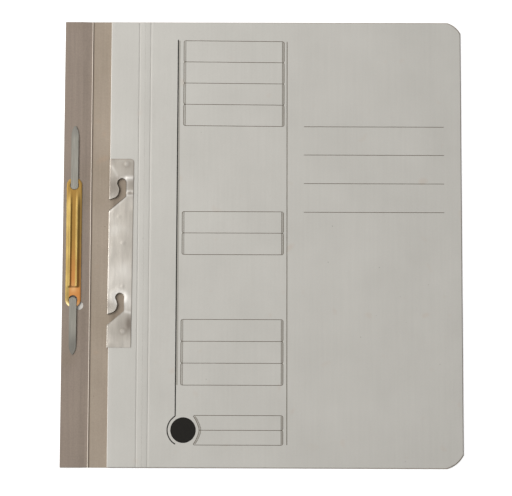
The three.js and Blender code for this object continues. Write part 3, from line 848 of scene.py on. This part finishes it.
leg_bottom = plate_low.z + TINPLATE + CLEARANCE
edge_round = (cover_top - leg_bottom) / 2
edge_x = edge_low.x + edge_round
edge_z = (cover_top + leg_bottom) / 2
edge_columns = sheet_columns(
    edge_x, spine_crease - 0.05, (spine_crease,), GROOVE_REACH, steps(edge_x, spine_crease - 1, 3.0),
)
edge_line = [(x, front_sheet_top(x)) for x in reversed(edge_columns[1:])]
edge_line += arc_points(edge_x, edge_z, edge_round, 90, 270, 12)
edge_line += [(x, leg_bottom) for x in steps(edge_x, hidden_crease - 3, 3.0)[1:]]
edge_line += [(hidden_crease - 1, edge_low.z), (hidden_crease + 6.5, edge_low.z)]
bm = run_section(edge_line, steps(-cover_half, cover_half, 6.0))
thicken_bent(bm, CARD)
bm = cut_away(bm, [plan_cutter(leaning_slot(head)) for head in slot_heads])
soften(bm, 0.05)
folded_card = finish("folded_hook_edge_card", bm, (grey_card, brown_card, card_core))


def folded_side(middle, normal):
    """The grey face is outside all round the fold, the brown face inside it."""
    if middle.x < edge_x and abs(normal.y) < 0.5:
        return 0 if math.hypot(middle.x - edge_x, middle.z - edge_z) > edge_round - 0.1 else 1
    if abs(normal.z) < 0.6:
        return 2
    outer = middle.z > cover_top - 0.3 if normal.z > 0 else middle.z < leg_bottom + 0.05
    return 0 if outer else 1


# A painted highlight lies along the folded edge, which faces the lamp
paint_card(folded_card, folded_side, (edge_low.x + 0.1,))
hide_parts("hook_strip_upper", "hook_strip_middle", "hook_strip_lower")
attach(folded_card, "back")


# Pressed brass-plated bar: two ribs and a floor between them, flat round ends with a hole each

bar_half_width = (bar_high.x - bar_low.x) / 2
bar_half_length = (bar_high.y - bar_low.y) / 2
# How far the ribs run each way from the bar's middle, and the length over which they run out
LOWER_RIB_END, LOWER_FADE = 31.85, 1.6
UPPER_RIB_END, UPPER_FADE = 37.5, 15.0
# How far each rib's crest lies from the bar's middle line
RIB_LINE = 2.45


def bar_fade(y):
    """1 along the ribs, 0 on the flat ends."""
    end, length = (UPPER_RIB_END, UPPER_FADE) if y > 0 else (LOWER_RIB_END, LOWER_FADE)
    return ease((end - abs(y)) / length)


def rib_height(y):
    """The ribs are pressed a little deeper towards the lower end."""
    return bar_fade(y) * (0.62 + 0.38 * min((UPPER_RIB_END - y) / 55.0, 1.0))


def bar_inside(x, y):
    """How far a place on the bar lies in from its outline."""
    beyond = max(abs(y) - bar_half_length + bar_half_width, 0.0)
    return bar_half_width - math.hypot(x, beyond)


def bar_rise(x, y):
    rib = 1.3 * hump(x, (-RIB_LINE, RIB_LINE), 2.1)
    web = 0.58 if abs(x) < RIB_LINE else 0.0
    # The press leaves the rim turned down all round
    return max(rib, web) * rib_height(y) - 0.14 * bell(bar_inside(x, y), 0.0, 0.45)


def bar_patina_and_shade(x, y):
    """Darker, warmer plating: patina on the floor and the ends, and painted shade on the right flanks, which
    face away from the lamp. The left flanks and the lower end's left rim face the lamp and stay pale.
    """
    on_floor = clamp((x + 2.5) / 0.4) * clamp((1.5 - x) / 0.5)
    right_flank = clamp((x - 2.5) / 0.4) * 0.6
    left_rim = clamp((x + 3.1) / 0.9)
    end_mark = (1 - bar_fade(y)) * (left_rim if y < 0 else 0.75)
    return max(min(on_floor, 0.95), right_flank, end_mark)


def bar_copper(x, y):
    return bar_patina_and_shade(x, y) * ease((7.0 - y) / 41.0)


def bar_painted_glint(x, y):
    """A painted glint on the lower end's rim, mostly on its left, which faces the lamp, and a faint one on
    the flat above its hole.
    """
    rim = bell(bar_inside(x, y), 0.7, 0.8) * soft_step(y, -41.8, -1.5)
    flat = 0.2 * bell(x, 0.2, 2.2) * bell(y, -32.5, 2.6)
    return min(rim * (1.0 if x < 0 else 0.25) + flat, 1.0)


# The rows lie close together where the ribs run out and on the round ends
bar_stretches = (
    (-bar_half_length, 0.3), (-LOWER_RIB_END - 0.2, 0.2), (LOWER_FADE - LOWER_RIB_END + 0.2, 4.0),
    (UPPER_RIB_END - UPPER_FADE - 0.2, 0.25), (UPPER_RIB_END + 0.2, 0.3), (bar_half_length, 0.0),
)
bar_rows = [-bar_half_length]
for (start, size), (end, _) in zip(bar_stretches, bar_stretches[1:]):
    bar_rows += steps(start, end, size)[1:]
bm = run_section([(x, 0.0) for x in steps(-bar_half_width, bar_half_width, 0.22)], bar_rows)
for vert in bm.verts:
    vert.co.z = bar_low.z + BAR + bar_rise(vert.co.x, vert.co.y)
for side, turned in ((1, 0), (-1, 180)):
    end_y = side * (bar_half_length - bar_half_width)
    clip_outline(bm, arc_points(0.0, end_y, bar_half_width, turned, turned + 180, 20))
bmesh.ops.translate(bm, vec=(prong_line, fastener_middle, 0), verts=bm.verts[:])
thicken_down(bm, BAR)
# The rim is thinner than the rest, because the bar lies flat
for vert in bm.verts:
    vert.co.z = max(vert.co.z, bar_low.z)
bm = cut_away(bm, [hole_cutter(prong_line, fastener_middle + side * HALF_PITCH) for side in (1, -1)])
soften(bm, 0.08)
pressed_bar = finish("pressed_bar", bm, (brass,))
for mark, value in (("patina_and_shade", bar_patina_and_shade), ("copper", bar_copper), ("painted_glint", bar_painted_glint)):
    set_mark(pressed_bar, mark, value, (prong_line, fastener_middle))
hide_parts("compressor_bar")
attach(pressed_bar, "bar")


# Prongs: soft strip that comes up through the flap and the bar and is bent over outwards

# How far each prong's bend starts from the fastener's middle
PRONG_ROOT = 38.4


def prong_piece(name, side, tip_y, bulge, tip_drop, node):
    """One prong. The upper has side 1 and the lower side -1, and is mirrored from the same shape."""
    bottom = prong_low.z
    reach = abs(tip_y - fastener_middle)
    # The bend may bulge inwards over the slit, and its corners are rounded off
    path = [(bulge, bottom + 0.02)]
    path += arc_points(bulge + PRONG, bottom, PRONG, 180, 90, 8)[1:]
    path += [(y, bottom + PRONG) for y in steps(bulge + PRONG, reach, 0.5)[1:]]
    bm = run_section(path, steps(-prong_half, prong_half, 0.5), along_x=True)
    tip = [(x, reach - back) for x, back in (
        (prong_half, 6.2), (2.28, 4.5), (1.8, 2.8), (1.2, 1.4), (0.6, 0.45), (0.0, 0.0),
    )]
    clip_outline(bm, tip)
    clip_outline(bm, [(-x, y) for x, y in reversed(tip)])
    clip_outline(bm, arc_points(0.0, bulge + 2.0, prong_half, 180, 360, 10, 2.0))
    # Hand bending leaves the strip faintly waved, with its tip pressed down to the flap
    for vert in bm.verts:
        if vert.co.y > PRONG_ROOT + 2:
            vert.co.z += 0.05 * noise.noise(Vector((3.1 * side, vert.co.y / 9.0, 0.4)))
        vert.co.z -= tip_drop * ease((vert.co.y - reach + 14.0) / 12.0)
    thicken_bent(bm, PRONG, (0, 1, 0))
    if side < 0:
        bmesh.ops.scale(bm, vec=(1, -1, 1), verts=bm.verts[:])
        bmesh.ops.recalc_face_normals(bm, faces=bm.faces[:])
    soften(bm, 0.09)
    bmesh.ops.translate(bm, vec=(prong_line, fastener_middle, 0), verts=bm.verts[:])
    piece = finish(name, bm, (enamelled_steel,))
    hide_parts(node)
    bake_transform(piece)


prong_piece("upper_prong_strip", 1, prong_high.y, 37.1, 0.3, "prong_upper")
prong_piece("lower_prong_strip", -1, lower_tip, 38.4, 0.45, "prong_lower")


# The strip runs on under the flap from prong to prong, and pale gummed paper covers it from behind

riser_half, flat_half = 1.5, 3.4
base_half = base_high.y - fastener_middle - BASE
base_floor = base_low.z + BASE
riser_top = prong_low.z - CLEARANCE
strip_path = [
    (-base_half, riser_top), (-base_half, base_floor), (base_half, base_floor), (base_half, riser_top),
]
bm = run_section(strip_path, (-riser_half, riser_half), along_x=True)
# Its flat stretch is wider than its risers
for vert in bm.verts:
    if vert.co.z < base_floor + 0.1:
        vert.co.x *= flat_half / riser_half
thicken_bent(bm, BASE, (0, 0, -1))
soften(bm, 0.05)
bmesh.ops.translate(bm, vec=(prong_line, fastener_middle, 0), verts=bm.verts[:])
strip_base = finish("strip_under_the_flap", bm, (shadowed_steel,))
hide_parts("fastener_base")
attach(strip_base, "flap")

paper_right = flap_low.x + 15.2
paper_line = [(x, paper_high.z) for x in steps(paper_low.x, paper_right, 2.0)]
bm = run_section(paper_line, steps(paper_low.y, paper_high.y, 6.0))
thicken_down(bm, paper_high.z - paper_low.z)
soften(bm, 0.03)
backing = finish("gummed_backing_paper", bm, (backing_paper,))
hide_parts("backing_strip")
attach(backing, "flap")


# The glue line keeps its CAD solid and takes its own finish

glue_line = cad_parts["tongue_glue"]
glue_line.data.materials.clear()
glue_line.data.materials.append(dried_glue)


# Print on the cover: each stroke is a thin closed ribbon that lies on the card

THIN = 0.38
FINE = THIN * 0.75
# The fields' rounded ends, and how far in from an end its inner line and its band lie
END_ROUND, END_BEND = 1.2, 0.35
INNER_LINE, BAND_LINE = 1.35, 0.7


class Print:
    """Strokes of one ink, drawn in millimetres on the flat cover."""

    def __init__(self):
        self.bm = bmesh.new()

    def stroke(self, points, width):
        """A ribbon along a line of points, with mitred bends."""
        points = [Vector((x, y, 0)) for x, y in points]
        pairs = []
        for before, point, after in zip(points[:1] + points, points, points[1:] + points[-1:]):
            incoming = (point - before).normalized() if point != before else (after - point).normalized()
            outgoing = (after - point).normalized() if point != after else incoming
            normal = Vector((-(incoming.y + outgoing.y), incoming.x + outgoing.x, 0)).normalized()
            stretch = 1 / max(normal.dot(Vector((-incoming.y, incoming.x, 0))), 0.5)
            offset = normal * width / 2 * stretch
            pairs.append((self.bm.verts.new(point + offset), self.bm.verts.new(point - offset)))
        for (a, b), (c, d) in zip(pairs, pairs[1:]):
            self.bm.faces.new((a, c, d, b))

    def fill(self, outline):
        self.bm.faces.new([self.bm.verts.new((x, y, 0)) for x, y in outline])

    def finish(self, name, finishes, lift=0.0):
        bm = self.bm
        # Long strokes are cut across, so that they follow the cover's sinking side
        for x in steps(-60.0, 130.0, 10.0):
            geometry = bm.verts[:] + bm.edges[:] + bm.faces[:]
            bmesh.ops.bisect_plane(bm, geom=geometry, dist=1e-5, plane_co=(x, 0, 0), plane_no=(1, 0, 0))
        for vert in bm.verts:
            vert.co.z = cover_top - droop(vert.co.x) + INK / 2 + lift
        thicken_down(bm, INK)
        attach(finish(name, bm, (finishes,)), "cover")


lines = Print()
bands = Print()
bold = Print()


def field_end(edge, inward, top, bottom, band_width, slanted=list):
    """One rounded end of a writing field, its inner line and the band between them. slanted drops the
    points with their row."""
    far, near = edge + inward * END_ROUND, edge + inward * END_BEND
    inner, middle = edge + inward * INNER_LINE, edge + inward * BAND_LINE
    lines.stroke(slanted([
        (far, top), (near, top - END_BEND), (edge, top - END_ROUND),
        (edge, bottom + END_ROUND), (near, bottom + END_BEND), (far, bottom),
    ]), THIN)
    lines.stroke(slanted([(inner, top - 0.2), (inner, bottom + 0.2)]), FINE)
    bands.stroke(slanted([(middle, top - 0.6), (middle, bottom + 0.6)]), band_width)


def label_rows(x0, x1, rows, drop=0.0):
    """A stack of writing fields with rounded ends. Its rows may drop a little towards the right."""
    def slanted(points):
        return [(x, y - drop / (x1 - x0) * (x - x0)) for x, y in points]

    for row in (rows[0], rows[-1]):
        lines.stroke(slanted([(x0 + END_ROUND, row), (x1 - END_ROUND, row)]), THIN)
    for row in rows[1:-1]:
        lines.stroke(slanted([(x0 + 0.45, row), (x1 - 0.45, row)]), THIN)
    # The left ends have a narrow band between two lines, the right ends a broad one
    for top, bottom in zip(rows, rows[1:]):
        field_end(x0, 1, top, bottom, 0.55, slanted)
        field_end(x1, -1, top, bottom, 0.95, slanted)


# Three stacks of fields, each with its left and right end and its rows
label_rows(-55.6, 15.0, (142.65, 127.55, 112.45, 97.35, 82.2), 0.42)
label_rows(-56.0, 14.7, (21.6, 6.6, -8.5))
label_rows(-56.3, 14.6, (-53.65, -68.8, -83.9, -99.05))
# Four lines to write on at the right, and the line that divides the cover
for row in (81.7, 61.7, 41.55, 21.4):
    lines.stroke([(28.9, row), (127.0, row)], THIN)
lines.stroke([(17.0, 142.1), (17.3, -140.0)], THIN * 1.35)

# The lowest fields curve in round the disc
disc = (-54.3, -130.0)
disc_radius, swing_radius = 8.8, 11.0
lowest_rows = (-119.85, disc[1], -140.15)
lowest_end = 14.6
lowest_far = lowest_end - END_ROUND
hollow = [(disc[0] + x, disc[1] + y) for x, y in (
    (7.7, 10.15), (7.1, 9.5), (8.6, 7.2), (9.9, 4.3), (10.8, 1.8), (11.0, 0.0),
    (10.8, -1.8), (9.9, -4.3), (8.6, -7.2), (7.1, -9.5), (7.7, -10.15),
)]
lines.stroke([(lowest_far, lowest_rows[0])] + hollow + [(lowest_far, lowest_rows[2])], THIN)
lines.stroke([(x + 1.3, y) for x, y in hollow[1:-1]], FINE)
bands.stroke([(x + 0.65, y) for x, y in hollow[1:-1]], 0.7)
lines.stroke([(disc[0] + swing_radius, disc[1]), (lowest_end - 0.4, disc[1])], THIN)
for top, bottom in zip(lowest_rows, lowest_rows[1:]):
    field_end(lowest_end, -1, top, bottom, 1.1)

# The bold line swings round the disc; a grey shade runs beside it down to the third stack
swing = arc_points(*disc, swing_radius, 119, 241, 18)
bold.stroke([(-59.6, 143.3), (-59.8, -120.2)] + swing[1:], 0.8)
bands.stroke([(-58.65, 142.6), (-58.8, -99.0)], 1.2)
bold.fill(arc_points(*disc, disc_radius, 0, 352.5, 47))

lines.finish("printed_thin_lines", line_ink)
bands.finish("printed_grey_bands", band_ink, -0.006)
bold.finish("printed_bold_line_and_disc", bold_ink)
